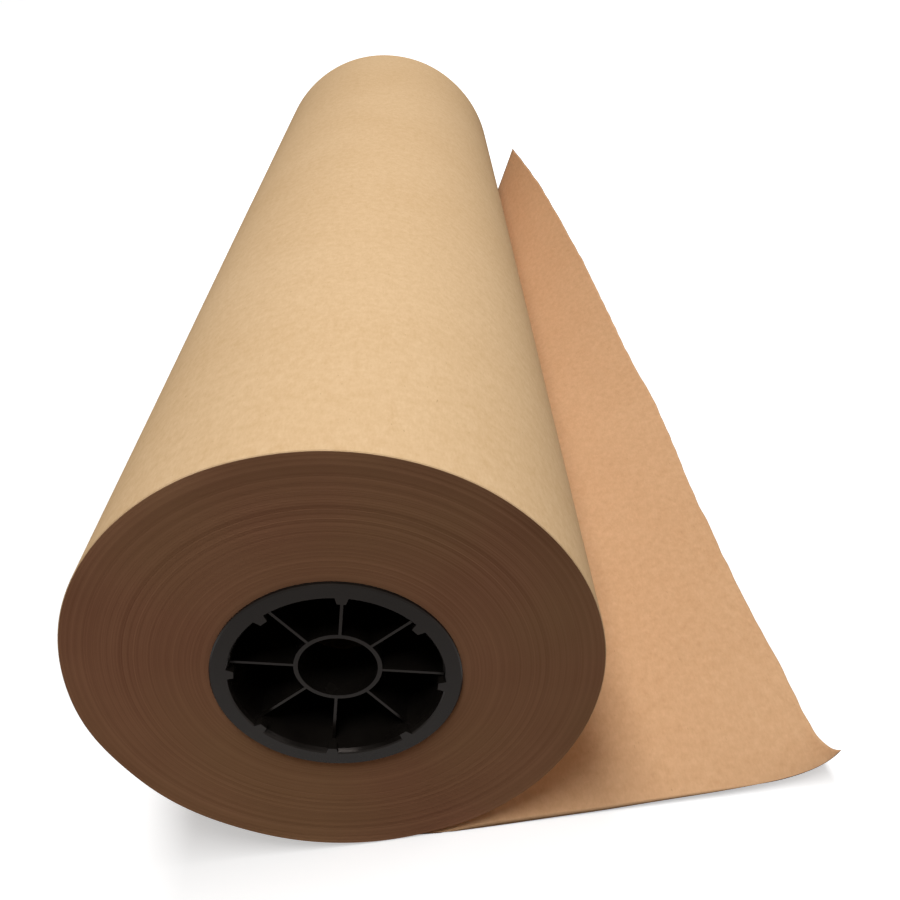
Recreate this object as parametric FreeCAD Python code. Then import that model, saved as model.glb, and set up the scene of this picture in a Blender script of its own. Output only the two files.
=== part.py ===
import FreeCAD, Part
import math
import os

# A 24 inch counter roll of brown wrapping paper on a 3 inch paperboard core.
# A moulded plug closes each end of the core and carries the roll on a 1 inch
# spindle. The end of the web is pulled loose and lies on the counter.
#
# Origin: on the roll's axis, at the mouth of the front plug's hub.
# +Y runs along the axis to the back end, +Z is up, +X is the loose end's side.
# All lengths are in millimetres, all angles in degrees.

# paper on the roll
PAPER_WIDTH = 610.0
ROLL_RADIUS = 89.0
WRAP_BANDS = 5
BAND_SHIFT_DEPTH = 0.5
BAND_STEP_ANGLE = 137.5
EDGE_WEAR_DEPTH = 0.6

# paperboard core
CORE_BORE_RADIUS = 38.1
CORE_WALL = 3.3

# moulded core plug
FLANGE_THICKNESS = 1.6
FLANGE_BEVEL_WIDTH = 0.5
MOUTH_BEVEL_WIDTH = 0.4
MOUTH_FLARE_WIDTH = 0.5
MOUTH_FLARE_DEPTH = 1.4
BARREL_LENGTH = 32.0
BARREL_WALL = 2.9
BARREL_CLEARANCE = 0.08
LEAD_IN_WIDTH = 1.5
HUB_DEPTH = 6.0
HUB_LENGTH = 22.0
HUB_BORE_RADIUS = 13.3
HUB_WALL = 1.5
RIB_COUNT = 8
RIB_THICKNESS = 1.0
RIB_ANGLE = 74.0
RIB_BITE_DEPTH = 0.6
LUG_REACH_LENGTH = 1.7
LUG_DEPTH = 3.0
LUG_ROOT_WIDTH = 4.8
LUG_TIP_WIDTH = 2.8

# loose end of the web
SHEET_THICKNESS = 0.4
SHEET_GAP = 0.3
FRONT_TAIL_LENGTH = 169.0
BACK_TAIL_LENGTH = 152.5
TEAR_BOW_DEPTH = 7.5
FRONT_RISE_ANGLE = 2.5
BACK_RISE_ANGLE = 62.0
RISE_POWER = 2.1
FRONT_FLAT_LENGTH = 33.0
BACK_FLAT_LENGTH = 27.0
FRONT_BEND_SHARE = 0.5
BACK_BEND_SHARE = 0.6
SHEET_STATIONS = 9
SECTION_STEPS = 60
SECTION_KNOTS = 12

# fits and places that follow from the sizes above
CORE_RADIUS = CORE_BORE_RADIUS + CORE_WALL
BARREL_RADIUS = CORE_BORE_RADIUS - BARREL_CLEARANCE
BARREL_BORE_RADIUS = BARREL_RADIUS - BARREL_WALL
MOUTH_RADIUS = BARREL_BORE_RADIUS + MOUTH_FLARE_WIDTH + MOUTH_BEVEL_WIDTH
HUB_RADIUS = HUB_BORE_RADIUS + HUB_WALL
FRONT_FACE = FLANGE_THICKNESS - HUB_DEPTH
BACK_FACE = FRONT_FACE + PAPER_WIDTH
FLOOR = -ROLL_RADIUS

AXIS = FreeCAD.Vector(0, 1, 0)
CENTRE = FreeCAD.Vector(0, 0, 0)


def revolved(profile):
    """Solid of revolution about the roll's axis from (radius, y) corners."""
    corners = [FreeCAD.Vector(radius, y, 0) for radius, y in profile]
    face = Part.Face(Part.makePolygon(corners + corners[:1]))
    return face.revolve(CENTRE, AXIS, 360)


def band_recess(band):
    """How far one band of wraps has shifted in from the widest one."""
    if band == WRAP_BANDS - 1:
        return 0.0
    return BAND_SHIFT_DEPTH * (0.5 + 0.5 * math.cos(math.radians(BAND_STEP_ANGLE * (band + 1))))


def make_wound_paper():
    """The wound wraps: a thick tube whose ends step where bands of wraps have crept."""
    band_width = (ROLL_RADIUS - CORE_RADIUS) / WRAP_BANDS
    front = []
    back = []
    for band in range(WRAP_BANDS):
        inner = CORE_RADIUS + band * band_width
        shift = band_recess(band)
        front += [(inner, FRONT_FACE + shift), (inner + band_width, FRONT_FACE + shift)]
        back += [(inner, BACK_FACE - shift), (inner + band_width, BACK_FACE - shift)]
    front[-1] = (ROLL_RADIUS - EDGE_WEAR_DEPTH, FRONT_FACE)
    back[-1] = (ROLL_RADIUS - EDGE_WEAR_DEPTH, BACK_FACE)
    rim = [(ROLL_RADIUS, FRONT_FACE + EDGE_WEAR_DEPTH), (ROLL_RADIUS, BACK_FACE - EDGE_WEAR_DEPTH)]
    return revolved(front + rim + back[::-1])


def make_core_tube():
    """The paperboard tube that the paper is wound on, cut to the paper's width."""
    return revolved([
        (CORE_BORE_RADIUS, FRONT_FACE),
        (CORE_RADIUS, FRONT_FACE),
        (CORE_RADIUS, BACK_FACE),
        (CORE_BORE_RADIUS, BACK_FACE),
    ])


def make_plug_shell():
    """The plug's flange and barrel: an eased mouth, and a lead-in taper at the inner end."""
    barrel_end = FRONT_FACE + BARREL_LENGTH
    return revolved([
        (BARREL_BORE_RADIUS, MOUTH_FLARE_DEPTH + MOUTH_BEVEL_WIDTH - HUB_DEPTH),
        (MOUTH_RADIUS - MOUTH_BEVEL_WIDTH, MOUTH_BEVEL_WIDTH - HUB_DEPTH),
        (MOUTH_RADIUS, -HUB_DEPTH),
        (CORE_RADIUS - FLANGE_BEVEL_WIDTH, -HUB_DEPTH),
        (CORE_RADIUS, FLANGE_BEVEL_WIDTH - HUB_DEPTH),
        (CORE_RADIUS, FRONT_FACE),
        (BARREL_RADIUS, FRONT_FACE),
        (BARREL_RADIUS, barrel_end - 2 * LEAD_IN_WIDTH),
        (BARREL_RADIUS - LEAD_IN_WIDTH, barrel_end),
        (BARREL_BORE_RADIUS, barrel_end),
    ])


def make_hub():
    """The ring in the middle of the plug that runs on the spindle."""
    outer = Part.makeCylinder(HUB_RADIUS, HUB_LENGTH, CENTRE, AXIS)
    bore = Part.makeCylinder(HUB_BORE_RADIUS, HUB_LENGTH, CENTRE, AXIS)
    return outer.cut(bore)


def make_rib():
    """One flat rib from the hub to the barrel, drawn along +X."""
    start = HUB_RADIUS - RIB_BITE_DEPTH
    length = BARREL_BORE_RADIUS + RIB_BITE_DEPTH - start
    corner = FreeCAD.Vector(start, 0, -RIB_THICKNESS / 2)
    return Part.makeBox(length, HUB_LENGTH, RIB_THICKNESS, corner)


def make_lug():
    """The small lug at the flange's mouth, in line with each rib, drawn along +X."""
    root = MOUTH_RADIUS + RIB_BITE_DEPTH
    tip = BARREL_BORE_RADIUS - LUG_REACH_LENGTH
    plan = [
        FreeCAD.Vector(root, -HUB_DEPTH, -LUG_ROOT_WIDTH / 2),
        FreeCAD.Vector(root, -HUB_DEPTH, LUG_ROOT_WIDTH / 2),
        FreeCAD.Vector(tip, -HUB_DEPTH, LUG_TIP_WIDTH / 2),
        FreeCAD.Vector(tip, -HUB_DEPTH, -LUG_TIP_WIDTH / 2),
    ]
    return Part.Face(Part.makePolygon(plan + plan[:1])).extrude(AXIS * LUG_DEPTH)


def make_front_plug():
    """Flange, barrel, ribs, lugs and hub of one moulding."""
    pieces = [make_hub()]
    for number in range(RIB_COUNT):
        turn = -(RIB_ANGLE + number * 360.0 / RIB_COUNT)
        for piece in (make_rib(), make_lug()):
            piece.rotate(CENTRE, AXIS, turn)
            pieces.append(piece)
    return make_plug_shell().fuse(pieces).removeSplitter()


def make_back_plug():
    """The same moulding pushed into the other end of the core."""
    middle = FreeCAD.Vector(0, (FRONT_FACE + BACK_FACE) / 2, 0)
    plug = make_front_plug()
    plug.rotate(middle, FreeCAD.Vector(0, 0, 1), 180)
    return plug


def between(front, back, share):
    """Value part of the way from the front edge of the sheet to the back edge."""
    return front + (back - front) * share


def sheet_line(share):
    """Points and slopes of the sheet's underside, a share of the way to the back."""
    tail = between(FRONT_TAIL_LENGTH, BACK_TAIL_LENGTH, share) - 4 * TEAR_BOW_DEPTH * share * (1 - share)
    rise = between(FRONT_RISE_ANGLE, BACK_RISE_ANGLE, share ** RISE_POWER)
    flat = between(FRONT_FLAT_LENGTH, BACK_FLAT_LENGTH, share)
    bend = between(FRONT_BEND_SHARE, BACK_BEND_SHARE, share) * (tail - flat)
    nip = math.sqrt(ROLL_RADIUS ** 2 - (ROLL_RADIUS - SHEET_THICKNESS - SHEET_GAP) ** 2)
    step = (tail - nip) / SECTION_STEPS
    x = nip
    z = FLOOR
    line = [(x, z, 0.0)]
    for number in range(SECTION_STEPS):
        along = nip + (number + 0.5) * step
        turned = min(max((along - flat) / bend, 0.0), 1.0)
        slope = math.radians(rise) * turned ** 2 * (3 - 2 * turned)
        x += step * math.cos(slope)
        z += step * math.sin(slope)
        line.append((x, z, slope))
    return line


def sheet_section(share):
    """Closed cross-section of the sheet, a share of the way to the back."""
    y = between(FRONT_FACE, BACK_FACE, share)
    line = sheet_line(share)
    picked = [line[round(k * SECTION_STEPS / SECTION_KNOTS)] for k in range(SECTION_KNOTS + 1)]
    under = []
    upper = []
    for x, z, slope in picked:
        under.append(FreeCAD.Vector(x, y, z))
        lift = FreeCAD.Vector(-math.sin(slope), 0, math.cos(slope)) * SHEET_THICKNESS
        upper.append(under[-1] + lift)
    under_curve = Part.BSplineCurve()
    under_curve.interpolate(under)
    upper_curve = Part.BSplineCurve()
    upper_curve.interpolate(upper)
    tip = Part.makeLine(under[-1], upper[-1])
    heel = Part.makeLine(upper[0], under[0])
    upper_edge = upper_curve.toShape()
    upper_edge.reverse()
    return Part.Wire([under_curve.toShape(), tip, upper_edge, heel])


def make_loose_sheet():
    """The loose end: flat on the counter at the front, curling up beside the roll at the back."""
    shares = [number / (SHEET_STATIONS - 1) for number in range(SHEET_STATIONS)]
    return Part.makeLoft([sheet_section(share) for share in shares], True)


PARTS = {
    "loose_sheet": make_loose_sheet,
    "wound_paper": make_wound_paper,
    "core_tube": make_core_tube,
    "front_plug": make_front_plug,
    "back_plug": make_back_plug,
}

os.makedirs("parts", exist_ok=True)
for name, make in PARTS.items():
    shape = make()
    box = shape.BoundBox
    print(name, shape.isValid(), len(shape.Solids), round(shape.Volume), box)
    shape.exportStep("parts/" + name + ".step")
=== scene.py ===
import math
import random

import bpy
from mathutils import Matrix, Vector, noise


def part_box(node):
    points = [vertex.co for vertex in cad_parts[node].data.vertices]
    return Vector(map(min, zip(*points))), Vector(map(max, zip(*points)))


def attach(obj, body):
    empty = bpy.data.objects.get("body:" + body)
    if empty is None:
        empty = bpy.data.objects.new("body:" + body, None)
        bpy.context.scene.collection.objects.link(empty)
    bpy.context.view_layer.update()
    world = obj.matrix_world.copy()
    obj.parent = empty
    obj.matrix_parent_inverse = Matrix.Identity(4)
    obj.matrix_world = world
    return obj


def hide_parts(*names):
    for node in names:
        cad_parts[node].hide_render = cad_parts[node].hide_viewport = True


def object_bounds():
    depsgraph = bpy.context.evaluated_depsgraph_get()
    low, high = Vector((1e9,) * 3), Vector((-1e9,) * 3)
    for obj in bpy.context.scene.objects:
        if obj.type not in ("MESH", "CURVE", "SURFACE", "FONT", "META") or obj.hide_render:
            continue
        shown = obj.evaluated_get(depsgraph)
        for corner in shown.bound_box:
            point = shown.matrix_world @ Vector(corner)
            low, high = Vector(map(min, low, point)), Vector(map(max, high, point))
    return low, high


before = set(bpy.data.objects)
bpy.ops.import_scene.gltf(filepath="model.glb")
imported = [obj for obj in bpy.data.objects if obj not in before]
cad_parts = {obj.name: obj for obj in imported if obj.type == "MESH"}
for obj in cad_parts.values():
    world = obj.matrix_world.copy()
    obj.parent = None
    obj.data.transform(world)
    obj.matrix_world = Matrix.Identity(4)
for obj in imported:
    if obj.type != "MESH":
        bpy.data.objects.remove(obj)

CAD_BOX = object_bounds()
CAD_BOX = [[float(value) for value in corner] for corner in CAD_BOX]

# Dresses the wrapping paper roll: its wound paper and loose sheet get finer shapes, and every
# piece gets a finish. Lengths are in metres and angles in degrees, and a share of the width runs
# from 0 at the front to 1 at the back.

# Places that the frame gives. The roll's axis is x = 0, z = 0, along +Y.
PAPER_LOW, PAPER_HIGH = (Vector(corner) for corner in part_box("wound_paper"))
CORE_HIGH = Vector(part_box("core_tube")[1])
ROLL_RADIUS = max(PAPER_HIGH.x, PAPER_HIGH.z, -PAPER_LOW.x, -PAPER_LOW.z)
CORE_RADIUS = max(CORE_HIGH.x, CORE_HIGH.z)
FRONT = PAPER_LOW.y
BACK = PAPER_HIGH.y
WIDTH = BACK - FRONT
FLOOR = -ROLL_RADIUS

# The loose end, as part.py shapes it: its length, how far the torn edge bows in, the slope that
# it rises to, its flat part, and the bend's share of the rest. Lengths run along the sheet from
# the line under the roll's axis.
FRONT_TAIL = 0.169
BACK_TAIL = 0.1525
TAIL_START = 0.005
TEAR_BOW = 0.0075
FRONT_RISE = 2.5
BACK_RISE = 62.0
RISE_POWER = 2.1
FRONT_FLAT = 0.033
BACK_FLAT = 0.027
FRONT_BEND_SHARE = 0.5
BACK_BEND_SHARE = 0.6

# The visual sheet's own thickness, and its grid. Rows crowd towards the curled front corner.
PAPER_THICKNESS = 0.0005
SHEET_ROWS = 260
SHEET_COLUMNS = 110
ROW_CROWDING = 1.5

# The front edge starts this far behind the roll's face and comes forward as it leaves the nip.
TAIL_CREEP = 0.0008
TAIL_STAND_OUT = 0.0009
STAND_OUT_LENGTH = 0.02

# The front corner curls up, and the torn edge comes to a point there.
CORNER_CURL = 60.0
CORNER_REACH = 0.05
CORNER_FADE = 0.011
CORNER_POINT = 0.0042
CORNER_POINT_FADE = 0.0025

# The hem: behind its front edge the sheet stands off the floor, most of all near the roll, and
# the edge itself turns down.
HEM_HEIGHT = 0.0024
HEM_START = 0.02
HEM_RAMP = 0.02
HEM_END = 0.145
HEM_FADE = 0.03
HEM_DROP = 0.8 * PAPER_THICKNESS
HEM_DROP_WIDTH = 0.0003

# Gentle waves in the sheet: their height, where they begin and how often they repeat.
WAVE_HEIGHT = 0.0008
WAVE_START = 0.02
WAVE_RAMP = 0.05
WAVES_ALONG = 30
WAVES_ACROSS = 11
WAVE_SEED = 5.0

# The torn edge: its local swells as (length, share, spread), and its roughness as (length,
# waves over the width, seed).
TEAR_SWELLS = [
    (0.0026, 0.4, 0.065),
    (-0.0013, 0.14, 0.13),
    (-0.0021, 0.033, 0.032),
]
TEAR_WAVES = [
    (0.0005, 60, 0.3),
    (0.00075, 14, 3.1),
]

# The roll's ends: bands of wraps that each sit a little deeper or prouder than the last. A
# band's step is a share of the greatest depth, and each depth keeps only part of the last one.
RING_COUNT = 90
RING_DEPTH = 0.00018
RING_STEP_SHARE = 0.35
RING_MEMORY = 0.9
RING_SEED = 7

# The roll's side and the worn rims of its ends.
ROUND_STEPS = 360
LENGTH_STEPS = 60
EDGE_WEAR = 0.0003
RIM_WIDTH = 0.004
RIM_WANDER = 0.0007
RIM_WAVES = 2.6
SIDE_WANDER = 0.00018
SIDE_WAVES_ROUND = 1.5
SIDE_WAVES_ALONG = 5
SHARP_ANGLE = 28.0

# Camera, from the roll's front centre in roll radii, and its angles and lens.
CAMERA_PLACE = Vector((0.7735, -2.4236, 2.4534))
CAMERA_TURN = 4.557
CAMERA_PITCH = 57.531
CAMERA_TILT = -11.591
CAMERA_LENS = 36.86
SENSOR = 36.0

# Light: (name, place, width, length, watts) of each soft lamp, and a dim warm room.
LAMPS = [
    ("overhead", Vector((0.05, -0.1, 1.7)), 0.5, 1.5, 26.5),
    ("side", Vector((1.5, 0.1, 0.5)), 0.5, 0.5, 5.8),
    ("behind", Vector((0.1, 1.8, 0.8)), 0.6, 0.4, 2.5),
]
LAMP_AIM = Vector((0.0, BACK * 0.4, 0.0))
ROOM_COLOUR = (1.0, 0.7, 0.5, 1)
ROOM_STRENGTH = 0.03

# The floor: its reach, a gap that keeps it off the sheet, its colour, the colour that the object
# sees in it, and its own glow, which is weaker near the object so that the shadow shows.
FLOOR_REACH = 6.0
FLOOR_GAP = 0.0002
FLOOR_COLOUR = (0.8, 0.8, 0.8, 1)
FLOOR_BOUNCE = (0.2, 0.16, 0.13, 1)
FLOOR_GLOW = 0.5
GLOW_NEAR = 0.3
GLOW_FAR = 1.0

# The backdrop that the camera sees, on the floor and beyond it.
WHITE = (1, 1, 1, 1)

# Grain of the paper: how each noise is scaled along x, y and z. It is drawn out along the roll.
PAPER_FLOCS = (1, 0.8, 1)
PAPER_FIBRES = (1300, 420, 1300)
PAPER_SHIVES = (1500, 420, 1500)

# Rings of cut edges per metre of radius, and how far they wander from a true circle.
EDGE_FINE_RINGS = 1500.0
EDGE_WIDE_RINGS = 420.0
EDGE_RING_WANDER = 0.0012

# The core's spiral: its length per turn, and the seam's share of that length.
CORE_SPIRAL_PITCH = 0.11
CORE_SEAM_SHARE = 0.02


def colour(red, green, blue):
    """An sRGB colour of 0 to 255 as Blender's linear colour."""
    linear = []
    for value in (red, green, blue):
        share = value / 255
        linear.append(share / 12.92 if share <= 0.04045 else ((share + 0.055) / 1.055) ** 2.4)
    return (*linear, 1.0)


def between(front, back, share):
    """The value a share of the way from the front one to the back one."""
    return front + (back - front) * share


def clamp(value):
    """The value, kept within 0 and 1."""
    return min(max(value, 0.0), 1.0)


def ease(share):
    """A share with a soft start and a soft end."""
    return share ** 2 * (3 - 2 * share)


def swell(share, middle, spread):
    """1 at the middle of a local change along the width, falling smoothly to 0 beside it."""
    return math.exp(-((share - middle) / spread) ** 2)


def backdrop_rays(nodes, links):
    """1 for the rays that see the white backdrop: camera, glossy and transmission rays."""
    rays = nodes.new("ShaderNodeLightPath")
    seen = rays.outputs["Is Camera Ray"]
    for name in ("Is Glossy Ray", "Is Transmission Ray"):
        larger = nodes.new("ShaderNodeMath")
        larger.operation = "MAXIMUM"
        links.new(seen, larger.inputs[0])
        links.new(rays.outputs[name], larger.inputs[1])
        seen = larger.outputs[0]
    return seen


class Material:
    """A node material with short calls for the nodes that the finishes use."""

    def __init__(self, name):
        self.data = bpy.data.materials.new(name)
        self.data.use_nodes = True
        self.nodes = self.data.node_tree.nodes
        self.links = self.data.node_tree.links
        self.shader = self.nodes["Principled BSDF"]

    def node(self, kind, settings=None, **inputs):
        """A new node; an input's name has _ for each space."""
        made = self.nodes.new("ShaderNode" + kind)
        for key, value in (settings or {}).items():
            setattr(made, key, value)
        for key, value in inputs.items():
            self.put(made.inputs[key.replace("_", " ")], value)
        return made

    def put(self, socket, value):
        """Links a socket to another one, or sets it to a plain value."""
        if isinstance(value, bpy.types.NodeSocket):
            self.links.new(value, socket)
        else:
            socket.default_value = value

    def set(self, name, value):
        """Puts a value into the shader's socket of this name."""
        self.put(self.shader.inputs[name], value)

    def place(self, scale=(1, 1, 1)):
        """Object coordinates in metres, times a scale."""
        coordinates = self.node("TexCoord").outputs["Object"]
        return self.node("Mapping", Vector=coordinates, Scale=scale).outputs["Vector"]

    def axes(self, *names):
        """The object coordinates along the named axes."""
        split = self.node("SeparateXYZ", Vector=self.place())
        return [split.outputs[name] for name in names]

    def noise(self, scale, detail, roughness, stretch=(1, 1, 1), place=None):
        """Noise over the object, or over another place if one is given."""
        where = place or self.place(stretch)
        made = self.node("TexNoise", Vector=where, Scale=scale, Detail=detail, Roughness=roughness)
        return made.outputs["Fac"]

    def ramp(self, fac, *stops):
        """A colour or grey that follows a value between two stops of (value, colour or grey)."""
        made = self.node("ValToRGB", Fac=fac)
        for element, (where, value) in zip(made.color_ramp.elements, stops):
            element.position = where
            element.color = value if hasattr(value, "__len__") else (value, value, value, 1)
        return made.outputs["Color"]

    def math(self, operation, first, second=0.0):
        """The result of a Math node."""
        made = self.node("Math", {"operation": operation})
        self.put(made.inputs[0], first)
        self.put(made.inputs[1], second)
        return made.outputs[0]

    def weigh(self, *parts):
        """The sum of values, each times its weight, from parts of (value, weight)."""
        value, weight = parts[0]
        total = self.math("MULTIPLY", value, weight)
        for value, weight in parts[1:]:
            total = self.math("ADD", total, self.math("MULTIPLY", value, weight))
        return total

    def distance(self, first, second):
        """The distance from an axis, from the coordinates along the two others."""
        return self.math("SQRT", self.weigh((first, first), (second, second)))

    def mix(self, fac, first, second, blend="MIX"):
        """Two colours mixed. The Mix node's colour sockets share their names with others."""
        made = self.node("Mix", {"data_type": "RGBA", "blend_type": blend})
        self.put(made.inputs[0], fac)
        self.put(made.inputs[6], first)
        self.put(made.inputs[7], second)
        return made.outputs[2]

    def bump(self, height, strength, distance, below=None):
        """A bumped normal, over the one below if there is one."""
        made = self.node("Bump", Height=height, Strength=strength, Distance=distance)
        if below is not None:
            self.put(made.inputs["Normal"], below)
        return made.outputs["Normal"]


def kraft_paper(name, light, dark, fleck):
    """Unbleached kraft: cloudy mottling, short fibres along the roll and a few dark shives."""
    paper = Material(name)
    clouds = paper.noise(scale=11.0, detail=3.0, roughness=0.6)
    flocs = paper.noise(scale=330.0, detail=4.0, roughness=0.6, stretch=PAPER_FLOCS)
    fibres = paper.noise(scale=1.0, detail=3.0, roughness=0.6, stretch=PAPER_FIBRES)
    tone = paper.weigh((clouds, 0.25), (flocs, 0.45), (fibres, 0.3))
    base = paper.ramp(tone, (0.36, dark), (0.64, light))
    shives = paper.noise(scale=1.0, detail=1.0, roughness=0.4, stretch=PAPER_SHIVES)
    specks = paper.ramp(shives, (0.76, 0.0), (0.83, 0.4))
    paper.set("Base Color", paper.mix(specks, base, fleck))
    paper.set("Roughness", paper.ramp(flocs, (0.3, 0.42), (0.7, 0.52)))
    paper.set("Specular IOR Level", 0.0)
    coarse = paper.bump(flocs, strength=0.15, distance=0.0002)
    paper.set("Normal", paper.bump(fibres, strength=0.25, distance=0.00008, below=coarse))
    return paper.data


def wound_edge(name, deep, pale, dusty):
    """The roll's end: hundreds of cut paper edges, ringed by their winding, with painted shade
    towards the top and the tail's side.
    """
    edge = Material(name)
    x, z = edge.axes("X", "Z")
    wander = edge.noise(scale=9.0, detail=2.0, roughness=0.5)
    wander = edge.math("MULTIPLY", wander, EDGE_RING_WANDER)
    radius = edge.math("ADD", edge.distance(x, z), wander)
    rings = edge.node("CombineXYZ", X=radius).outputs["Vector"]
    fine = edge.noise(scale=EDGE_FINE_RINGS, detail=2.0, roughness=0.7, place=rings)
    wide = edge.noise(scale=EDGE_WIDE_RINGS, detail=3.0, roughness=0.6, place=rings)
    patches = edge.noise(scale=16.0, detail=3.0, roughness=0.6)
    tone = edge.weigh((fine, 0.42), (wide, 0.33), (patches, 0.25))
    body = edge.ramp(tone, (0.34, deep), (0.66, pale))
    dust = edge.noise(scale=11.0, detail=2.0, roughness=0.5)
    body = edge.mix(edge.ramp(dust, (0.4, 0.0), (0.62, 0.55)), body, dusty)
    # Painted shade: the ends are darkened towards the top and the tail's side, and stay lighter
    # towards the lower left.
    painted_shade_slope = edge.weigh((x, -0.75), (z, -0.5))
    painted_shade_slope = edge.math("ADD", edge.math("MULTIPLY", painted_shade_slope, 5.0), 0.5)
    painted_shade = edge.ramp(painted_shade_slope, (0.0, 0.72), (1.0, 1.0))
    edge.set("Base Color", edge.mix(1.0, body, painted_shade, "MULTIPLY"))
    edge.set("Roughness", 0.85)
    edge.set("Specular IOR Level", 0.1)
    ridges = edge.bump(wide, strength=0.25, distance=0.0004)
    edge.set("Normal", edge.bump(fine, strength=0.4, distance=0.0002, below=ridges))
    return edge.data


def sheet_edge(name, light, dark):
    """The thin side of the loose sheet: bare fibres, darker than its faces, and darker still as
    painted shadow for the contact shadow along its front edge.
    """
    edge = Material(name)
    grain = edge.noise(scale=900.0, detail=2.0, roughness=0.6)
    edge.set("Base Color", edge.mix(grain, light, dark))
    edge.set("Roughness", 0.9)
    edge.set("Specular IOR Level", 0.0)
    return edge.data


def core_board(name, deep, pale, seam):
    """Grey-brown paperboard wound in a spiral, with a fine seam."""
    board = Material(name)
    x, y, z = board.axes("X", "Y", "Z")
    turn = board.math("DIVIDE", board.math("ARCTAN2", z, x), 2 * math.pi)
    along = board.math("DIVIDE", y, CORE_SPIRAL_PITCH)
    spiral = board.math("FRACT", board.math("ADD", along, turn))
    gap = board.ramp(spiral, (0.0, 1.0), (CORE_SEAM_SHARE, 0.0))
    pulp = board.noise(scale=160.0, detail=4.0, roughness=0.65)
    board.set("Base Color", board.mix(gap, board.ramp(pulp, (0.3, deep), (0.7, pale)), seam))
    board.set("Roughness", 0.85)
    board.set("Specular IOR Level", 0.2)
    board.set("Normal", board.bump(pulp, strength=0.3, distance=0.0003))
    return board.data


def plug_plastic(name, deep, pale):
    """Black moulded polypropylene: satin, with a faint grain and handling marks."""
    plastic = Material(name)
    grain = plastic.noise(scale=1400.0, detail=2.0, roughness=0.5)
    marks = plastic.noise(scale=60.0, detail=4.0, roughness=0.6)
    plastic.set("Base Color", plastic.ramp(marks, (0.3, deep), (0.7, pale)))
    plastic.set("Roughness", plastic.ramp(marks, (0.3, 0.16), (0.7, 0.28)))
    plastic.set("Specular IOR Level", 0.15)
    plastic.set("Specular Tint", (1.0, 0.87, 0.8, 1.0))
    plastic.set("Normal", plastic.bump(grain, strength=0.12, distance=0.0001))
    return plastic.data


def mesh_object(name, points, faces, smooth=True):
    """A mesh object from points and faces."""
    mesh = bpy.data.meshes.new(name)
    mesh.from_pydata(points, [], faces)
    mesh.update()
    if smooth:
        mesh.shade_smooth()
    made = bpy.data.objects.new(name, mesh)
    bpy.context.scene.collection.objects.link(made)
    return made


def grid_faces(rows, columns, closed=False):
    """Quads over a grid of points given row by row; closed joins the last column to the first."""
    faces = []
    for row in range(rows - 1):
        for column in range(columns if closed else columns - 1):
            beside = (column + 1) % columns
            low = row * columns
            high = low + columns
            faces.append((low + column, low + beside, high + beside, high + column))
    return faces


def end_profile():
    """(radius, depth) from the core out to the rim of an end face, one step per band of wraps."""
    steps = random.Random(RING_SEED)
    profile = []
    depth = 0.0
    for ring in range(RING_COUNT + 1):
        radius = between(CORE_RADIUS, ROLL_RADIUS - EDGE_WEAR, ring / RING_COUNT)
        depth += steps.uniform(-RING_STEP_SHARE, RING_STEP_SHARE) * RING_DEPTH
        depth = min(max(depth * RING_MEMORY, 0.0), RING_DEPTH)
        profile.append((radius, depth))
    return profile


def side_sag(radius, y, outward):
    """How far the roll's side is moved off its true radius, which is never outwards."""
    if radius <= ROLL_RADIUS - 2 * EDGE_WEAR:
        return 0.0
    place = (outward.x * SIDE_WAVES_ROUND, y * SIDE_WAVES_ALONG, outward.z * SIDE_WAVES_ROUND)
    return SIDE_WANDER * (noise.noise(Vector(place)) - 1)


def rim_creep(radius, y, outward):
    """How far the rim of an end face has moved along the axis."""
    inner_rim = ROLL_RADIUS - RIM_WIDTH
    if min(y - FRONT, BACK - y) >= 2 * EDGE_WEAR or radius <= inner_rim:
        return 0.0
    wave = noise.noise(outward * RIM_WAVES + Vector((0, y, 0)))
    return RIM_WANDER * (radius - inner_rim) / RIM_WIDTH * wave


def make_wound_paper(side, end):
    """The wound paper: a gently uneven side and two ends made of thin, shifted wraps."""
    profile = end_profile()
    lathe = [(radius, FRONT + depth) for radius, depth in profile]
    for step in range(LENGTH_STEPS + 1):
        y = between(FRONT + EDGE_WEAR, BACK - EDGE_WEAR, step / LENGTH_STEPS)
        lathe.append((ROLL_RADIUS, y))
    lathe += [(radius, BACK - depth) for radius, depth in reversed(profile)]
    points = []
    for radius, y in lathe:
        for step in range(ROUND_STEPS):
            turn = 2 * math.pi * step / ROUND_STEPS
            outward = Vector((math.cos(turn), 0, math.sin(turn)))
            point = outward * (radius + side_sag(radius, y, outward))
            point.y = y + rim_creep(radius, y, outward)
            points.append(point)
    rows = len(lathe)
    faces = grid_faces(rows, ROUND_STEPS, closed=True)
    made = mesh_object("wound_paper_wraps", points, faces)
    made.data.materials.append(side)
    made.data.materials.append(end)
    ends = len(profile)
    for polygon in made.data.polygons:
        row = polygon.index // ROUND_STEPS
        polygon.material_index = 1 if row < ends - 1 or row >= rows - ends else 0
    made.data.set_sharp_from_angle(angle=math.radians(SHARP_ANGLE))
    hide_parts("wound_paper")
    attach(made, "roll")


def tail_length(share):
    """The loose end's length at a share of the width, with its bow and its torn line."""
    tail = between(FRONT_TAIL, BACK_TAIL, share) - 4 * TEAR_BOW * share * (1 - share)
    tail += CORNER_POINT * math.exp(-share * WIDTH / CORNER_POINT_FADE)
    for length, middle, spread in TEAR_SWELLS:
        tail += length * swell(share, middle, spread)
    for length, waves, seed in TEAR_WAVES:
        tail += length * noise.noise(Vector((share * waves, seed, 0)))
    return tail


def hem_lift(along, inward):
    """How far the hem lifts the sheet; inward is the distance from the front edge."""
    height = HEM_HEIGHT * max(1 - along / HEM_END, 0.0)
    height *= clamp((along - HEM_START) / HEM_RAMP)
    turned = min(inward / HEM_DROP_WIDTH, 1.0)
    edge_drop = min(height, HEM_DROP) * (1 - turned)
    return height * turned * math.exp(-inward / HEM_FADE) - edge_drop


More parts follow.
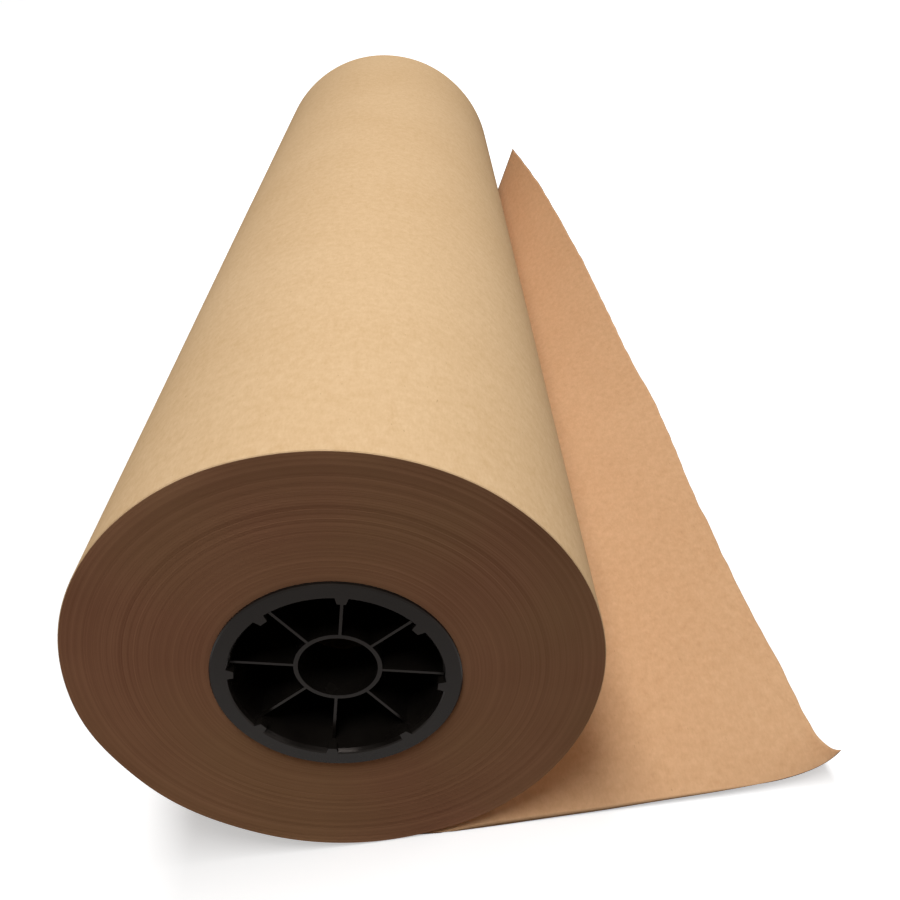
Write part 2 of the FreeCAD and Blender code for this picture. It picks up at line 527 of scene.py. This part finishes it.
def wave_lift(along, y):
    """How far the sheet's gentle waves lift it."""
    wave = noise.noise(Vector((along * WAVES_ALONG, y * WAVES_ACROSS, WAVE_SEED)))
    return WAVE_HEIGHT * (0.5 + 0.5 * wave) * clamp((along - WAVE_START) / WAVE_RAMP)


def sheet_row(share):
    """Points across the loose end, from the roll to the torn edge, at a share of the width."""
    tail = tail_length(share)
    rise = math.radians(between(FRONT_RISE, BACK_RISE, share ** RISE_POWER))
    flat = between(FRONT_FLAT, BACK_FLAT, share)
    bend = between(FRONT_BEND_SHARE, BACK_BEND_SHARE, share) * (tail - flat)
    curl = math.radians(CORNER_CURL) * math.exp(-share * WIDTH / CORNER_FADE)
    step = (tail - TAIL_START) / (SHEET_COLUMNS - 1)
    x = TAIL_START
    z = FLOOR + PAPER_THICKNESS
    row = []
    for column in range(SHEET_COLUMNS):
        along = TAIL_START + column * step
        stand_out = ease(min(column * step / STAND_OUT_LENGTH, 1.0))
        y = between(FRONT + TAIL_CREEP - TAIL_STAND_OUT * stand_out, BACK, share)
        row.append(Vector((x, y, z + wave_lift(along, y) + hem_lift(along, share * WIDTH))))
        middle = along + step / 2
        slope = rise * ease(clamp((middle - flat) / bend))
        slope += curl * clamp((middle - tail + CORNER_REACH) / CORNER_REACH) ** 3
        x += step * math.cos(slope)
        z += step * math.sin(slope)
    return row


def make_loose_sheet(paper, cut_edge):
    """The loose end as one thin sheet that leaves the roll, lies flat and curls up at the back."""
    points = []
    for row in range(SHEET_ROWS):
        points += sheet_row((row / (SHEET_ROWS - 1)) ** ROW_CROWDING)
    made = mesh_object("loose_sheet_paper", points, grid_faces(SHEET_ROWS, SHEET_COLUMNS))
    made.data.materials.append(paper)
    made.data.materials.append(cut_edge)
    body = made.modifiers.new("thickness", "SOLIDIFY")
    body.thickness = PAPER_THICKNESS
    body.offset = -1.0
    # The rim takes the edge finish, whose dark colour is partly painted shadow.
    body.material_offset_rim = 1
    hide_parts("loose_sheet")
    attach(made, "tail")


def dress(node, material):
    """Gives a CAD node its finish."""
    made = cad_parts[node]
    made.data.materials.clear()
    made.data.materials.append(material)


def make_floor():
    """A white floor that reads as the backdrop and still takes the object's shadow."""
    corners = [(-1, -1), (1, -1), (1, 1), (-1, 1)]
    points = [(x * FLOOR_REACH, y * FLOOR_REACH, FLOOR - FLOOR_GAP) for x, y in corners]
    floor = mesh_object("floor", points, [(0, 1, 2, 3)], smooth=False)
    white = Material("floor_white")
    seen = backdrop_rays(white.nodes, white.links)
    white.set("Base Color", white.mix(seen, FLOOR_BOUNCE, FLOOR_COLOUR))
    white.set("Roughness", 1.0)
    white.set("Specular IOR Level", 0.0)
    white.set("Emission Color", WHITE)
    away = white.distance(*white.axes("X", "Y"))
    glow = white.ramp(away, (GLOW_NEAR, FLOOR_GLOW), (GLOW_FAR, 1.0))
    white.set("Emission Strength", white.math("MULTIPLY", seen, glow))
    floor.data.materials.append(white.data)
    return floor


def light_room():
    """A dim warm room that reads as white where it is seen."""
    world = bpy.data.worlds.new("room")
    bpy.context.scene.world = world
    world.use_nodes = True
    nodes, links = world.node_tree.nodes, world.node_tree.links
    room = nodes["Background"]
    room.inputs["Color"].default_value = ROOM_COLOUR
    room.inputs["Strength"].default_value = ROOM_STRENGTH
    backdrop = nodes.new("ShaderNodeBackground")
    backdrop.inputs["Color"].default_value = WHITE
    backdrop.inputs["Strength"].default_value = 1.0
    mixer = nodes.new("ShaderNodeMixShader")
    links.new(backdrop_rays(nodes, links), mixer.inputs[0])
    links.new(room.outputs[0], mixer.inputs[1])
    links.new(backdrop.outputs[0], mixer.inputs[2])
    links.new(mixer.outputs[0], nodes["World Output"].inputs["Surface"])


def hang_lamps():
    """Soft lamps above, beside and behind the roll, all turned towards it."""
    for name, place, width, length, power in LAMPS:
        lamp = bpy.data.lights.new(name, "AREA")
        lamp.shape = "RECTANGLE"
        lamp.size = width
        lamp.size_y = length
        lamp.energy = power
        holder = bpy.data.objects.new(name, lamp)
        bpy.context.scene.collection.objects.link(holder)
        holder.location = place
        holder.rotation_euler = (LAMP_AIM - place).to_track_quat("-Z", "Y").to_euler()


def place_camera():
    """The camera stands in front of the roll, above it and to its right, and is tilted."""
    camera = bpy.data.cameras.new("camera")
    camera.lens = CAMERA_LENS
    camera.sensor_width = SENSOR
    holder = bpy.data.objects.new("camera", camera)
    bpy.context.scene.collection.objects.link(holder)
    place = Vector((0, FRONT, 0)) + CAMERA_PLACE * ROLL_RADIUS
    turn = Matrix.Rotation(math.radians(CAMERA_TURN), 4, "Z")
    pitch = Matrix.Rotation(math.radians(CAMERA_PITCH), 4, "X")
    tilt = Matrix.Rotation(math.radians(CAMERA_TILT), 4, "Z")
    holder.matrix_world = Matrix.Translation(place) @ turn @ pitch @ tilt
    bpy.context.scene.camera = holder


bpy.context.scene.view_settings.view_transform = "Standard"
place_camera()
light_room()
hang_lamps()
counter = make_floor()

outside = kraft_paper(
    "kraft_outside",
    light=colour(233, 200, 158),
    dark=colour(220, 184, 139),
    fleck=colour(164, 120, 76),
)
inside = kraft_paper(
    "kraft_inside",
    light=colour(222, 180, 139),
    dark=colour(207, 163, 122),
    fleck=colour(158, 112, 74),
)
cut_edges = wound_edge(
    "cut_paper_edges",
    deep=colour(164, 112, 85),
    pale=colour(213, 158, 123),
    dusty=colour(190, 150, 108),
)
black_plastic = plug_plastic(
    "plug_plastic_black",
    deep=colour(20, 17, 15),
    pale=colour(29, 26, 23),
)
# The sheet's rim: cut fibres, with painted shadow in its dark colour for the contact shadow under
# the front edge.
edge_with_painted_shadow = sheet_edge(
    "kraft_cut_edge_painted_shadow",
    light=colour(112, 66, 44),
    dark=colour(96, 56, 38),
)
paperboard = core_board(
    "core_paperboard",
    deep=colour(112, 88, 66),
    pale=colour(146, 118, 90),
    seam=colour(70, 52, 38),
)

make_wound_paper(outside, cut_edges)
make_loose_sheet(inside, edge_with_painted_shadow)
dress("core_tube", paperboard)
dress("front_plug", black_plastic)
dress("back_plug", black_plastic)
